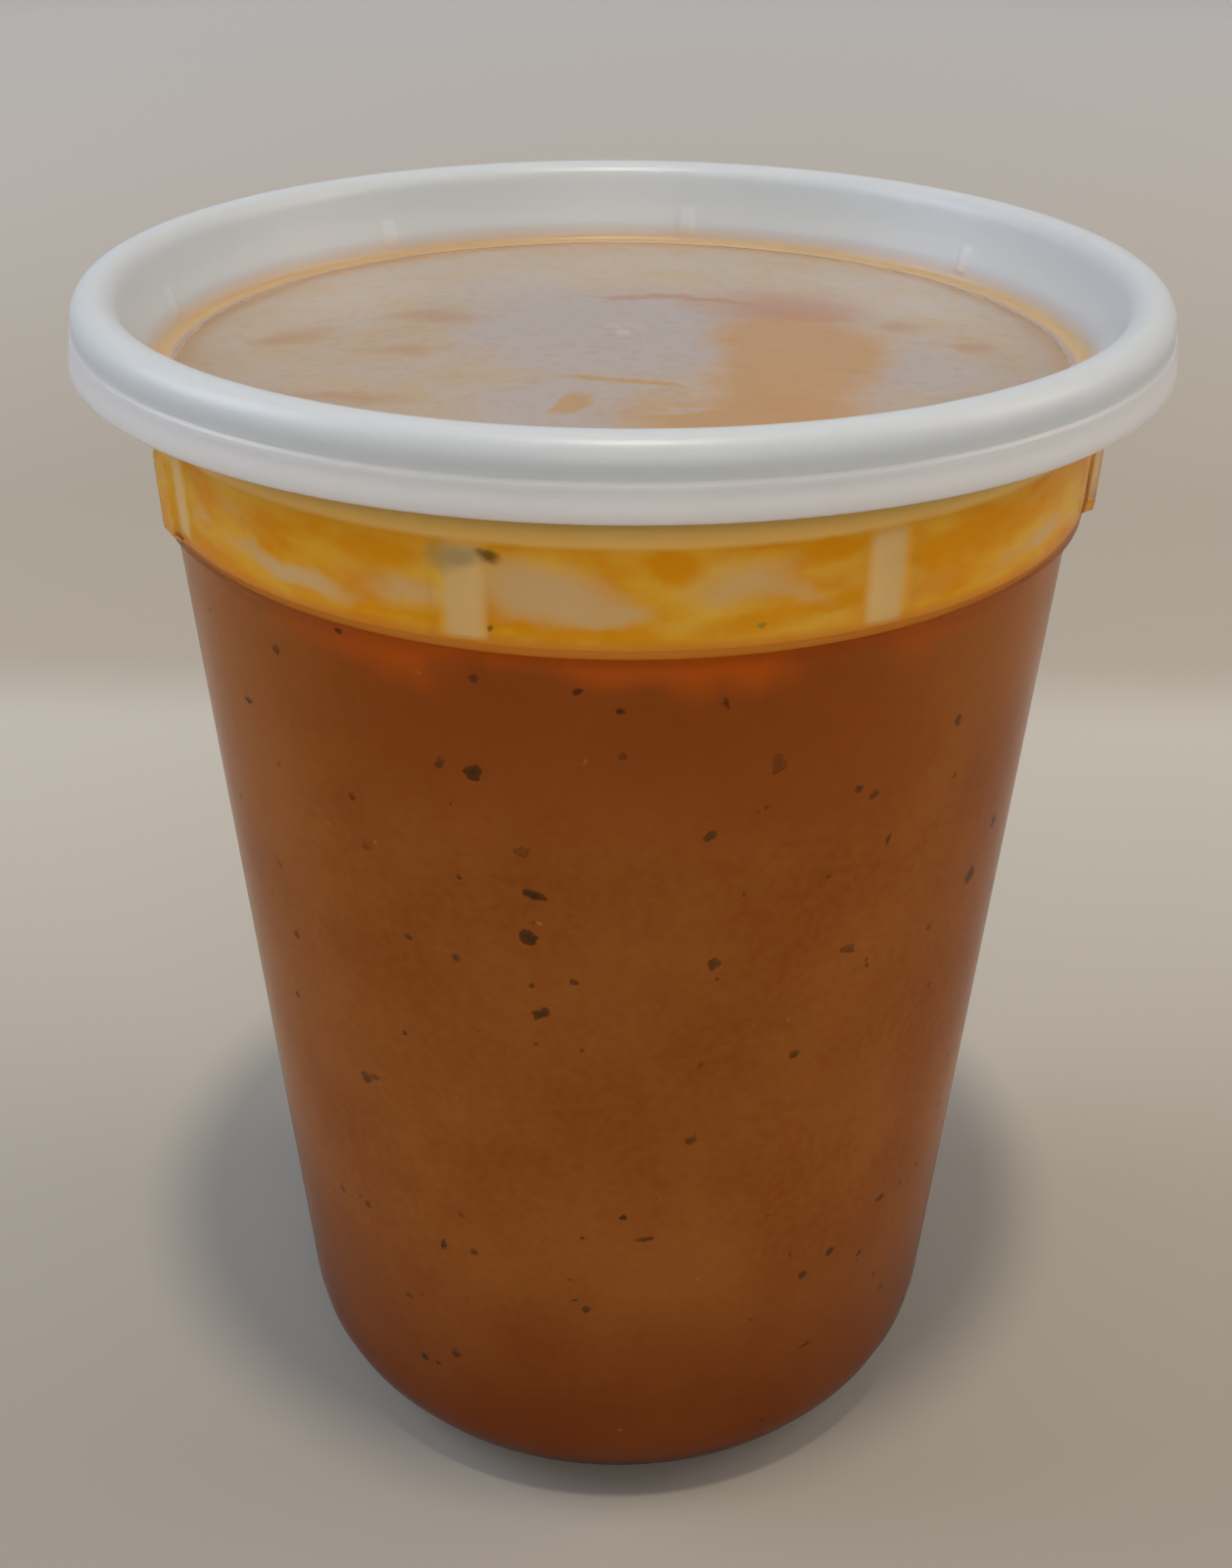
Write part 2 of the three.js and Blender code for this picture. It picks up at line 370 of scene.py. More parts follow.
def bars_tree():
    """Raises evenly spaced upright bars from the faces marked by the attribute 'bar face'."""
    tree, given = new_tree("Raised bars", [
        "Count", "Phase", "Width", "Side", "Depth", "Bottom", "Bottom Fade", "Top", "Top Fade"])
    place = add(tree, "GeometryNodeInputPosition")
    split = add(tree, "SeparateXYZ", [place], None)
    flat, radius = axis_distance(tree, split)
    away = pitch_share(tree, split, given["Count"], given["Phase"])
    pitch = add(tree, "Math", [TURN, given["Count"]], operation="DIVIDE")
    swept = add(tree, "Math", [away, pitch], operation="MULTIPLY")
    distance = add(tree, "Math", [swept, radius], operation="MULTIPLY")
    half = add(tree, "Math", [given["Width"], 0.5], operation="MULTIPLY")
    outer = add(tree, "Math", [half, given["Side"]], operation="ADD")
    across = add(tree, "MapRange", [distance, half, outer, 1.0, 0.0], **SMOOTH)
    risen = add(tree, "Math", [given["Bottom"], given["Bottom Fade"]], operation="ADD")
    above = add(tree, "MapRange", [split[2], given["Bottom"], risen],
                interpolation_type="SMOOTHERSTEP")
    sunk = add(tree, "Math", [given["Top"], given["Top Fade"]], operation="SUBTRACT")
    below = add(tree, "MapRange", [split[2], sunk, given["Top"], 1.0, 0.0])
    marked = add(tree, "GeometryNodeInputNamedAttribute", ["bar face"])
    push = across
    for share in (above, below, marked, given["Depth"]):
        push = add(tree, "Math", [push, share], operation="MULTIPLY")
    outward = add(tree, "VectorMath", [flat], operation="NORMALIZE")
    offset = add(tree, "VectorMath", {0: outward, "Scale": push}, operation="SCALE")
    moved = add(tree, "GeometryNodeSetPosition", {"Geometry": given["Geometry"], "Offset": offset})
    return end_tree(tree, moved, given["Material"])


def scatter_tree():
    """Strews chips from a collection over a carrier surface, flat against it, at random sizes and turns.
    Each chip carries 'sunk', how deep it lies, from 0 on the wall to 1 nearly hidden."""
    tree, given = new_tree("Strewn chips", ["Density", "Smallest", "Largest", "Least Sunk", "Most Sunk"],
                           Chips="Collection", Seed="Int")
    seed = given["Seed"]
    points = add(tree, "GeometryNodeDistributePointsOnFaces", {
        "Mesh": given["Geometry"], "Density": given["Density"], "Seed": seed}, None)
    spin = add(tree, "FunctionNodeRandomValue", {2: 0.0, 3: TURN, "Seed": seed}, 1)
    twist = add(tree, "FunctionNodeAxisAngleToRotation", {"Axis": (0, 0, 1), "Angle": spin})
    facing = add(tree, "FunctionNodeRotateRotation", [points["Rotation"], twist], rotation_space="LOCAL")
    second = add(tree, "Math", [seed, 7.0], operation="ADD")
    chance = add(tree, "FunctionNodeRandomValue", {2: 0.0, 3: 1.0, "Seed": second}, 1)
    # A power over 1 makes small chips common and large ones rare.
    rare = add(tree, "Math", [chance, LARGE_RARITY], operation="POWER")
    size = add(tree, "MapRange", [rare, 0.0, 1.0, given["Smallest"], given["Largest"]])
    chips = add(tree, "GeometryNodeCollectionInfo", {
        0: given["Chips"], "Separate Children": True, "Reset Children": True})
    placed = add(tree, "GeometryNodeInstanceOnPoints", {
        "Points": points["Points"], "Instance": chips, "Pick Instance": True, "Rotation": facing,
        "Scale": size})
    third = add(tree, "Math", [seed, 19.0], operation="ADD")
    depth = add(tree, "FunctionNodeRandomValue", {
        2: given["Least Sunk"], 3: given["Most Sunk"], "Seed": third}, 1)
    noted = add(tree, "GeometryNodeStoreNamedAttribute", {"Geometry": placed, "Name": "sunk", "Value": depth},
                domain="INSTANCE")
    return end_tree(tree, noted, given["Material"])


def barred(name, outline, angles, wanted, tree, material, count, phase, **sizes):
    """Turns an outline and raises bars where wanted(radius, height) holds. Sizes are in millimetres."""
    blank = turned_piece(name + "_blank", outline, angles)
    places = [vertex.co / MM for vertex in blank.data.vertices]
    note(blank, "bar face", [float(wanted(place.xy.length, place.z)) for place in places])
    values = {label.replace("_", " "): size * MM for label, size in sizes.items()}
    return grown(name, blank, tree, {
        "Count": count, "Phase": math.radians(phase), "Material": material, **values})


# -------- materials

def new_finish(name, **values):
    """A material with one Principled shader, its tree and the place on the piece. Values that are even
    all over sit on the shader's own sockets."""
    material = bpy.data.materials.new(name)
    material.use_nodes = True
    tree = material.node_tree
    for label, value in values.items():
        tree.nodes["Principled BSDF"].inputs[label.replace("_", " ")].default_value = value
    return material, tree, add(tree, "TexCoord", out="Object")


def fed(material, **outputs):
    """Links outputs to the sockets of a material's shader and gives the material."""
    tree = material.node_tree
    for label, output in outputs.items():
        tree.links.new(output, tree.nodes["Principled BSDF"].inputs[label.replace("_", " ")])
    return material


def mottled(tree, place, scale, spread, **noise):
    """Noise at a scale, spread out by a Map Range's limits."""
    cloud = add(tree, "TexNoise", {"Vector": place, "Scale": scale, **noise})
    return add(tree, "MapRange", [cloud, *spread])


def from_shore(*heights):
    """Heights in millimetres over the soup's upper edge, in metres over the ground."""
    return [(SHORE_HEIGHT + height) * MM for height in heights]


def from_panel_edge(*widths):
    """Radii in metres, from widths in millimetres outwards of the lid's sunken panel."""
    return [(PANEL_RADIUS + width) * MM for width in widths]


SOUP_DARK = "#944f1b"
SOUP_LIGHT = "#a46029"
SOUP_PULP = "#b27234"
# Painted shade over the upper band and the base, and painted light in the oil's colour.
SOUP_UPPER_PAINTED_SHADE = "#944a18"
SOUP_OIL_PAINTED_LIGHT = "#c25a12"
SOUP_LOW_PAINTED_SHADE = "#70300a"


def soup_colour_group():
    """The colour of the soup at a place: brown orange, cloudy, redder where oil has risen to the top, with
    painted shade under the lid and over the base, and painted light at the upper sides and in the oil's
    colour.
    """
    group = bpy.data.node_groups.new("Soup colour", "ShaderNodeTree")
    group.interface.new_socket("Colour", in_out="OUTPUT", socket_type="NodeSocketColor")
    place = add(group, "TexCoord", out="Object")
    sideways, _, height = add(group, "SeparateXYZ", [place], None)
    # Clouds about 25 mm across, where the blended vegetables lie thicker or thinner.
    cloudy = mottled(group, place, 40.0, (0.36, 0.64), Detail=3.0, Roughness=0.55)
    # Pulp about 1 mm across.
    grainy = mottled(group, place, 900.0, (0.3, 0.75, 0.0, 0.3), Detail=2.0)
    # Painted shade under the lid and collar: redder and darker over the top quarter, but not at the sides,
    # where painted light keeps it browner and paler.
    aside = add(group, "Math", [sideways], operation="ABSOLUTE")
    central = add(group, "MapRange", [aside, 16 * MM, 40 * MM, 1.0, 0.15], **SMOOTH)
    painted_side_light = add(group, "MapRange", [aside, 26 * MM, 44 * MM, 0.0, 0.6])
    high = add(group, "MapRange", [height, *from_shore(-28.0, -8.0), 0.0, 0.85], **SMOOTH)
    # The oily layer at the top, its colour lightened as painted light against the lid's shadow, fades out
    # downwards, further in some places than in others.
    reach = mottled(group, place, 90.0, (0.35, 0.65, -2 * MM, 2 * MM), Detail=3.0)
    shifted = add(group, "Math", [height, reach], operation="ADD")
    oily = add(group, "MapRange", [shifted, *from_shore(-5.0, -0.8), 0.0, 0.95], **SMOOTH)
    # Painted shade: the lower part is redder and darker, most of all just over the base.
    painted_low_shade = add(group, "MapRange", [shifted, 1 * MM, 50 * MM, 0.9, 0.0], **SMOOTH)
    # Over the soup there is only the film for bits to lie in.
    over = add(group, "MapRange", [height, *from_shore(0.6, 1.4)])
    finished = laid_over(group, SOUP_DARK, [
        (SOUP_LIGHT, cloudy), (SOUP_PULP, grainy), (SOUP_UPPER_PAINTED_SHADE, high, central), (SOUP_PULP, high, painted_side_light),
        (SOUP_OIL_PAINTED_LIGHT, oily, central), (SOUP_LOW_PAINTED_SHADE, painted_low_shade), (FILM_AMBER, over)])
    add(group, "NodeGroupOutput", [finished], None)
    return group


def tomato_soup(colours):
    """Blended tomato soup with cream and oil: brown orange and cloudy, wet where it meets the air."""
    material, tree, _ = new_finish("Blended tomato soup", Roughness=0.35, IOR=1.38, Specular_IOR_Level=0.05)
    return fed(material, Base_Color=add(tree, "Group", node_tree=colours))


def moulded_face(tree, place, scuff_scale, roughness, peel_scale, peel_strength):
    """A moulded plastic's roughness, uneven between two values, and the normal of its orange peel."""
    worn = mottled(tree, place, scuff_scale, (0.0, 1.0, *roughness), Detail=4.0)
    peel = add(tree, "TexNoise", {"Vector": place, "Scale": peel_scale, "Detail": 1.0})
    return worn, add(tree, "Bump", {
        "Height": peel, "Strength": peel_strength, "Distance": 0.1 * MM})


def natural_polypropylene():
    """Injection-moulded natural polypropylene: clear but milky, so what touches it shows and what
    stands off blurs, with a soft gloss broken by a faint orange peel of about 2 mm."""
    material, tree, place = new_finish(
        "Natural polypropylene, moulded", Base_Color=linear("#fdfaf2"), IOR=1.1, Transmission_Weight=1.0,
        Specular_IOR_Level=0.15)
    worn, peel = moulded_face(tree, place, 60.0, (0.19, 0.26), 450.0, 0.06)
    return fed(material, Roughness=worn, Normal=peel)


LID_WHITE = "#d9e3e8"
# Painted light on the skirt.
LID_SKIRT_PAINTED_LIGHT = "#f2f7f6"
# Painted glow round the panel's corner.
LID_PAINTED_GLOW = "#ffb860"


def white_polyethylene():
    """Moulded translucent white polyethylene: satin and milky with an orange peel of about 3 mm,
    clearer in the thin panel that the film wets from below than in the bead and skirt."""
    material, tree, place = new_finish(
        "White polyethylene, moulded", IOR=1.5, Specular_IOR_Level=0.42, Subsurface_Weight=1.0,
        Subsurface_Radius=(1.0, 1.0, 1.0), Subsurface_Scale=4 * MM)
    split = add(tree, "SeparateXYZ", [place], None)
    radius = axis_distance(tree, split)[1]
    thick = add(tree, "MapRange", [radius, *from_panel_edge(-2.8, -1.0)])
    clear = add(tree, "MapRange", [thick, 0.0, 1.0, 0.96, 0.2])
    # Painted glow: orange painted into the lid's colour over the corner where the soup drained, and a little
    # way up the wall, standing in for the film's light showing through it.
    into = add(tree, "MapRange", [radius, *from_panel_edge(-2.6, -0.9)], **SMOOTH)
    out = add(tree, "MapRange", [radius, *from_panel_edge(-0.2, 0.9), 0.8, 0.0], **SMOOTH)
    # Painted light: the skirt's colour is lightened so it stays as bright as the bead over it, in place of
    # the light a thin skirt passes from behind.
    skirt = add(tree, "MapRange", [
        split[2], (STEP_HEIGHT - 0.3) * MM, (STEP_HEIGHT + 0.9) * MM, 1.0, 0.0])
    outer = add(tree, "MapRange", [radius, RIM_RADIUS * MM, (RIM_RADIUS + 1.0) * MM])
    tinted = laid_over(tree, LID_WHITE, [(LID_SKIRT_PAINTED_LIGHT, skirt, outer), (LID_PAINTED_GLOW, into, out)])
    worn, peel = moulded_face(tree, place, 80.0, (0.2, 0.26), 320.0, 0.08)
    rough = add(tree, "Math", [thick, 0.13, worn], operation="MULTIPLY_ADD")
    return fed(material, Transmission_Weight=clear, Base_Color=tinted, Roughness=rough, Normal=peel)


def warped_place(tree, place, waves):
    """Shifts a place by noise, for ragged edges; waves are (length of a wave, push) in millimetres."""
    for length, push in waves:
        noise = add(tree, "TexNoise", {"Vector": place, "Scale": 1 / (length * MM), "Detail": 2.0},
                    "Color")
        centred = add(tree, "VectorMath", [noise, (0.5, 0.5, 0.5)], operation="SUBTRACT")
        shift = add(tree, "VectorMath", {0: centred, "Scale": 2 * push * MM}, operation="SCALE")
        place = add(tree, "VectorMath", [place, shift], operation="ADD")
    across, along, _ = add(tree, "SeparateXYZ", [place], None)
    return add(tree, "CombineXYZ", [across, along])


def painted(tree, colour, place, patches):
    """Lays patches over a colour. A patch is its centre, half lengths and turn in millimetres and
    degrees, its colour, how strongly it covers and how soft its edge is."""
    for centre, size, turn, tint, most, soft in patches:
        local = add(tree, "Mapping", [
            place, (centre[0] * MM, centre[1] * MM, 0), (0, 0, math.radians(turn)),
            (size[0] * MM, size[1] * MM, 1)], vector_type="TEXTURE")
        off = add(tree, "VectorMath", [local], "Value", operation="LENGTH")
        cover = add(tree, "MapRange", [off, 1 - soft, 1 + soft, most, 0.0], **SMOOTH)
        colour = laid_over(tree, colour, [(tint, cover)])
    return colour


OILY = {"Roughness": 0.3, "IOR": 1.46, "Specular_IOR_Level": 0.05}
FILM_AMBER = "#f4bc40"
FILM_DEEP = "#ec9a02"
FILM_PALE = "#e4bc84"
FILM_RED = "#e08a34"
# Painted light on the flare under the skirt.
FILM_FLARE_PAINTED_LIGHT = "#ffd07a"
FILM_BEHIND_RIB = "#e6c48a"
HERB_SMUDGE = "#988462"
HERB_BROWN = "#6a4818"

# Patches on the collar as seen with the wall rolled flat: distance round from the front, height.
COLLAR_PATCHES = [
    ((-24, 128.6), (5, 1.6), 0, FILM_DEEP, 0.8, 0.6),
    ((4.5, 128.8), (2.4, 1.5), -10, FILM_DEEP, 0.9, 0.5),
    ((19.5, 129.6), (4, 1.1), 8, FILM_DEEP, 0.9, 0.6),
    ((20.5, 124.4), (3.5, 1.0), 10, FILM_DEEP, 0.8, 0.6),
    ((12.5, 123.2), (5, 0.9), 0, FILM_DEEP, 0.7, 0.6),
    ((-2, 122.0), (9, 0.7), 0, FILM_DEEP, 0.6, 0.6),
    ((38, 127.5), (9, 2.0), 0, FILM_DEEP, 0.6, 0.7),
    ((-34, 123.8), (7, 1.0), -4, FILM_PALE, 0.95, 0.6),
    ((-20, 124.9), (3.6, 1.4), 0, FILM_PALE, 0.75, 0.8),
    ((-6.5, 126.0), (6.4, 2.6), -8, FILM_PALE, 1.0, 0.5),
    ((-1, 124.4), (3.6, 1.3), 0, FILM_PALE, 0.9, 0.5),
    ((11, 127.2), (4.0, 1.7), 12, FILM_PALE, 0.8, 0.8),
    ((16, 126.0), (3, 0.9), -20, FILM_PALE, 0.5, 0.8),
]

# Sodden herbs caught behind the left front rib and beside it.
SMUDGES = [
    ((-15.2, 129.2), (2.1, 1.1), 0, HERB_SMUDGE, 0.62, 0.7),
    ((-12.2, 129.0), (1.1, 0.8), 0, HERB_BROWN, 0.85, 0.6),
]


def collar_film():
    """Soup oil clinging to the inside of the collar: amber where it is thick, pale and milky in the
    patches where it has run off, and thin in the hollow behind each rib."""
    material, tree, place = new_finish("Soup oil film on plastic", **OILY)
    split = add(tree, "SeparateXYZ", [place], None)
    height = split[2]
    # Patches about 12 mm long and half as high.
    stretched = add(tree, "Mapping", {"Vector": place, "Scale": (1.0, 1.0, 2.1)})
    runs = add(tree, "TexNoise", {
        "Vector": stretched, "Scale": 75.0, "Detail": 3.0, "Roughness": 0.5, "Distortion": 0.3})
    patch = add(tree, "MapRange", [runs, 0.5, 0.66, 0.0, 0.85], **SMOOTH)
    low = add(tree, "MapRange", [height, 121.6 * MM, 123.4 * MM], **SMOOTH)
    high = add(tree, "MapRange", [height, 128.2 * MM, 130.0 * MM, 1.0, 0.0], **SMOOTH)
    # The places drawn one by one face the front, and noise fills the rest.
    behind = add(tree, "MapRange", [split[1], -38 * MM, -28 * MM, 0.15, 1.0])
    thick = mottled(tree, stretched, 110.0, (0.38, 0.66), Detail=4.0)
    patched = laid_over(tree, FILM_AMBER, [(FILM_DEEP, thick), (FILM_PALE, patch, low, high, behind)])
    toward = add(tree, "Math", [split[1], -1.0], operation="MULTIPLY")
    azimuth = add(tree, "Math", [split[0], toward], operation="ARCTAN2")
    arc = add(tree, "Math", [azimuth, COLLAR_RADIUS * MM], operation="MULTIPLY")
    rolled = add(tree, "CombineXYZ", [arc, height])
    ragged = warped_place(tree, rolled, [(5.0, 1.6), (1.5, 0.35)])
    drawn = painted(tree, patched, ragged, COLLAR_PATCHES)
    # Redder towards the soup. On the flare, painted light: paler where the white lid stands close behind and
    # lights it from behind.
    near_soup = add(tree, "MapRange", [height, 120.6 * MM, 122.3 * MM, 0.9, 0.0], **SMOOTH)
    painted_flare_light = add(tree, "MapRange", [
        height, (FLARE_HEIGHT - 0.1) * MM, (FLARE_HEIGHT + 0.5) * MM, 0.0, 0.85])
    # The hollow behind each rib.
    away = pitch_share(tree, split, RIB_COUNT, math.radians(RIB_PHASE))
    half = RIB_WIDTH / 2 / COLLAR_RADIUS * RIB_COUNT / TURN
    hidden = add(tree, "MapRange", [away, half * 0.5, half * 1.35, 0.8, 0.0], **SMOOTH)
    over = add(tree, "MapRange", [height, (RIB_BOTTOM - 0.1) * MM, (RIB_BOTTOM + 0.3) * MM])
    under = add(tree, "MapRange", [height, (RIB_TOP - 2.2) * MM, (RIB_TOP - 0.6) * MM, 1.0, 0.0])
    ribbed = laid_over(tree, drawn, [
        (FILM_RED, near_soup), (FILM_FLARE_PAINTED_LIGHT, painted_flare_light), (FILM_BEHIND_RIB, hidden, over, under)])
    return fed(material, Base_Color=painted(tree, ribbed, ragged, SMUDGES))


VEIL_PALE = "#fbe1c6"
VEIL_WARM = "#fcd9a8"
VEIL_EDGE_PAINTED_LIGHT = "#ffc678"
VEIL_BARE = "#f5e1d4"
VEIL_ORANGE = "#fec474"
VEIL_RED = "#f2ac7c"
VEIL_BROWN = "#f0b474"

# Patches under the panel: places along X and Y.
PANEL_PATCHES = [
    ((-13, 20), (7, 9), 20, VEIL_BARE, 0.7, 0.6),
    ((-2, 1), (15.5, 17), 0, VEIL_BARE, 1.0, 0.25),
    ((-6, -24), (9.5, 8), 0, VEIL_BARE, 0.9, 0.4),
    ((32, -10), (6.5, 7), 30, VEIL_BARE, 0.75, 0.6),
    ((18, -9), (8.5, 20), -4, VEIL_ORANGE, 0.9, 0.35),
    ((12, -27), (12, 7), 0, VEIL_ORANGE, 0.85, 0.4),
    ((18, 12), (8, 6), 0, VEIL_RED, 0.75, 0.6),
    ((5, 15.5), (9, 0.9), -6, VEIL_RED, 0.8, 0.5),
    ((0, -17.2), (7, 0.8), -3, VEIL_ORANGE, 0.9, 0.4),
    ((-4.5, -23), (2.4, 2.2), 0, VEIL_ORANGE, 0.9, 0.3),
    ((6, -23.5), (3, 0.9), 10, VEIL_PALE, 0.8, 0.4),
    ((-36, 1), (3.4, 3), 0, VEIL_BROWN, 0.75, 0.9),
    ((-21, 8), (5, 1.8), 0, VEIL_BROWN, 0.7, 0.9),
    ((-23, -6), (3, 1.4), 0, VEIL_BROWN, 0.6, 0.9),
    ((-28, -21.5), (6, 1.5), -10, VEIL_BROWN, 0.7, 0.9),
    ((31, 5), (2.6, 2.6), 0, VEIL_BROWN, 0.75, 0.9),
    ((37, -2), (2, 1.4), 0, VEIL_BROWN, 0.7, 0.9),
]


def panel_film():
    """Soup film under the lid: a thin pinkish beige veil, oilier orange patches, a bare
    greyish area in the middle and an orange line where it has drained to the edge, lightened as painted light
    against the corner's shade."""
    material, tree, place = new_finish("Soup film under the lid", **OILY)
    streaky = mottled(tree, place, 130.0, (0.42, 0.66), Detail=5.0, Roughness=0.6, Distortion=0.6)
    base = laid_over(tree, VEIL_PALE, [(VEIL_WARM, streaky)])
    ragged = warped_place(tree, place, [(11.0, 5.0), (3.0, 1.5), (1.2, 0.4)])
    colour = painted(tree, base, ragged, PANEL_PATCHES)
    # Fine curdled grain of about 1 mm.
    grainy = mottled(tree, place, 700.0, (0.5, 0.75, 0.0, 0.35), Detail=3.0)
    split = add(tree, "SeparateXYZ", [place], None)
    radius = axis_distance(tree, split)[1]
    # The drained edge line, its colour lightened as painted light against the shade in the corner.
    drained = add(tree, "MapRange", [radius, *from_panel_edge(-5.4, -2.0), 0.0, 0.9], **SMOOTH)
    edged = laid_over(tree, colour, [(VEIL_BROWN, grainy), (VEIL_EDGE_PAINTED_LIGHT, drained)])
    return fed(material, Base_Color=edged)


HERB_TINT = "#2c271b"
ONION_TINT = "#c99a62"


def chip_finish(name, colours, tint, roughness):
    """Small bits under the wall. The deeper a bit is sunk, the more its rim takes the soup's colour."""
    material, tree, place = new_finish(name, Roughness=roughness, IOR=1.4, Specular_IOR_Level=0.05)
    soup = add(tree, "Group", node_tree=colours)
    sunk = add(tree, "Attribute", out="Fac", attribute_name="sunk")
    rim = add(tree, "Attribute", out="Fac", attribute_name="rim")
    # Veins and crumbs of about 0.3 mm.
    lit = mottled(tree, place, 2500.0, (0.0, 1.0, 0.0, 0.3), Detail=2.0)
    faded = add(tree, "Math", [rim, 0.35, sunk], operation="MULTIPLY_ADD", use_clamp=True)
    return fed(material, Base_Color=laid_over(tree, tint, [(soup, lit), (soup, faded)]))


# -------- the tub

def tub_outline():
    lip_outside = RIM_RADIUS + TUB_FACE
    lip_inside = lip_outside - WALL
    bead_top = RIM_HEIGHT + TUB_FACE
    under_rim = RIM_HEIGHT - WALL
    outside = [
        (0, FOOT_HEIGHT, 0),
        (FOOT_RADIUS - 0.6, FOOT_HEIGHT, 0.5),
        (FOOT_RADIUS, 0, 0.4),
        (body_radius(0), 0, BASE_ROUND),
        (SHOULDER_RADIUS, SHOULDER_HEIGHT, 0.25),
        (COLLAR_RADIUS, COLLAR_HEIGHT - 0.65, 0.5),
        (plug_radius(FLARE_HEIGHT, TUB_BACK), FLARE_HEIGHT, 0.5),
        (plug_radius(under_rim, TUB_BACK), under_rim, 0.4),
        (lip_inside, under_rim, 0.35),
        (lip_inside, LIP_BOTTOM, 0.3),
        (lip_outside, LIP_BOTTOM, 0.3),
        (lip_outside, bead_top, TUB_FACE * BEAD_ROUNDING),
        (plug_radius(bead_top, TUB_FACE), bead_top, TUB_FACE * BEAD_ROUNDING),
    ]
    ledge = collar_radius(COLLAR_HEIGHT + 0.4, WALL)
    inside = [
        (plug_radius(FLARE_HEIGHT, TUB_FACE), FLARE_HEIGHT, 0.8),
        (ledge, COLLAR_HEIGHT + 0.4, 0.3),
        (body_radius(COLLAR_HEIGHT + 0.1, WALL), COLLAR_HEIGHT + 0.1, 0.3),
        (body_radius(FLOOR_HEIGHT, WALL), FLOOR_HEIGHT, BASE_ROUND - FLOOR_HEIGHT),
        (0, FLOOR_HEIGHT, 0),
    ]
    return outside + inside


def on_tub_outside(radius, height):
    """True on the outside of the collar and flare, below the rim."""
    middle = max(collar_radius(height, WALL / 2), plug_radius(height, TUB_BACK + WALL / 2))
    return COLLAR_HEIGHT < height < RIB_TOP + 1 and radius > middle


def make_tub(tree, material):
    band = [(RIB_BOTTOM - 0.6, RIB_BOTTOM + 1.5), (RIB_TOP - 2.6, RIB_TOP + 0.5)]
    outline = divided(rounded(tub_outline()), band)
    angles = bar_angles(RIB_COUNT, RIB_PHASE, RIB_WIDTH, EDGE_SOFT, COLLAR_RADIUS)
    return barred("tub_wall", outline, angles, on_tub_outside, tree, material, RIB_COUNT, RIB_PHASE,
                  Width=RIB_WIDTH, Side=EDGE_SOFT, Depth=RIB_DEPTH, Bottom=RIB_BOTTOM,
                  Bottom_Fade=RIB_BOTTOM_FADE, Top=RIB_TOP, Top_Fade=RIB_TOP_FADE)


# -------- the lid

def lid_outline():
    plug_foot = PANEL_HEIGHT - LID_WALL
    dome = domed(PANEL_RADIUS - DOME_UNDER_END, 14)
    underside = [(radius, height - LID_WALL, 0) for radius, height in dome]
    bead_under = RIM_HEIGHT + LID_UNDER
    channel = [
        (plug_radius(plug_foot, LID_UNDER), plug_foot, 0.9),
        (plug_radius(bead_under, LID_UNDER), bead_under, LID_UNDER * BEAD_ROUNDING),
        (RIM_RADIUS + LID_UNDER, bead_under, LID_UNDER * BEAD_ROUNDING),
        (RIM_RADIUS + LID_UNDER, RIM_HEIGHT - 0.9, 0.3),
        (SKIRT_RADIUS - 0.22 - LID_WALL, STEP_HEIGHT - 0.8, 0.3),
        (CATCH_RADIUS, CATCH_HEIGHT, 0.3),
        (SKIRT_RADIUS - LID_WALL, CATCH_HEIGHT - 0.8, 0.4),
        (SKIRT_RADIUS - LID_WALL, SKIRT_BOTTOM, 0.2),
    ]
    bead = RIM_RADIUS + LID_BEAD
    outside = [
        (SKIRT_RADIUS, SKIRT_BOTTOM, 0.3),
        (SKIRT_RADIUS - 0.5, STEP_HEIGHT, 0.15),
        (bead + 0.02, STEP_HEIGHT + 0.3, 0.15),
        (bead, RIM_HEIGHT - 0.1, 0.3),
        (bead, LID_TOP, LID_BEAD * BEAD_ROUNDING),
        (plug_radius(LID_TOP, LID_BEAD), LID_TOP, LID_BEAD * BEAD_ROUNDING),
        (PANEL_RADIUS, PANEL_HEIGHT, 0.9),
    ]
    dome = reversed(domed(PANEL_RADIUS - DOME_TOP_END, 14))
    panel = [(radius, height, 0) for radius, height in dome if radius > 5]
    crest = panel_height(0)
    gate = [
        (2.9, crest - 0.02, 0.4),
        (2.3, crest - 0.22, 0.4),
        (0.9, crest - 0.2, 0.2),
        (0.7, crest + 0.42, 0.25),
        (0, crest + 0.45, 0),
    ]
    return underside + channel + outside + panel + gate


def on_lid_plug(radius, height):
    """True on the visible side of the wall round the sunken panel."""
    return LUG_BOTTOM - 1 < height < LUG_TOP + 1 and radius < plug_radius(height, LID_BEAD - LID_WALL / 2)


def make_lid(tree, material):
    outline = divided(rounded(lid_outline()), [(LUG_BOTTOM - 0.4, LUG_TOP + 0.4)])
    angles = bar_angles(LUG_COUNT, LUG_PHASE, LUG_WIDTH, LUG_SOFT, PANEL_RADIUS, between=20)
    return barred("lid_moulding", outline, angles, on_lid_plug, tree, material, LUG_COUNT, LUG_PHASE,
                  Width=LUG_WIDTH, Side=LUG_SOFT, Depth=-LUG_DEPTH, Bottom=LUG_BOTTOM,
                  Bottom_Fade=LUG_BOTTOM_FADE, Top=LUG_TOP, Top_Fade=LUG_TOP_FADE)


# -------- soup and film

def soup_lift(radius, height, angle):
    """A few low swells on the soup's upper face."""
    if height < SHORE_HEIGHT - 1 or radius > 46:
        return 0
    return 0.12 * math.sin(radius / 6 + 2 * angle) * math.sin(3 * angle + 1) * min(1, radius / 8)


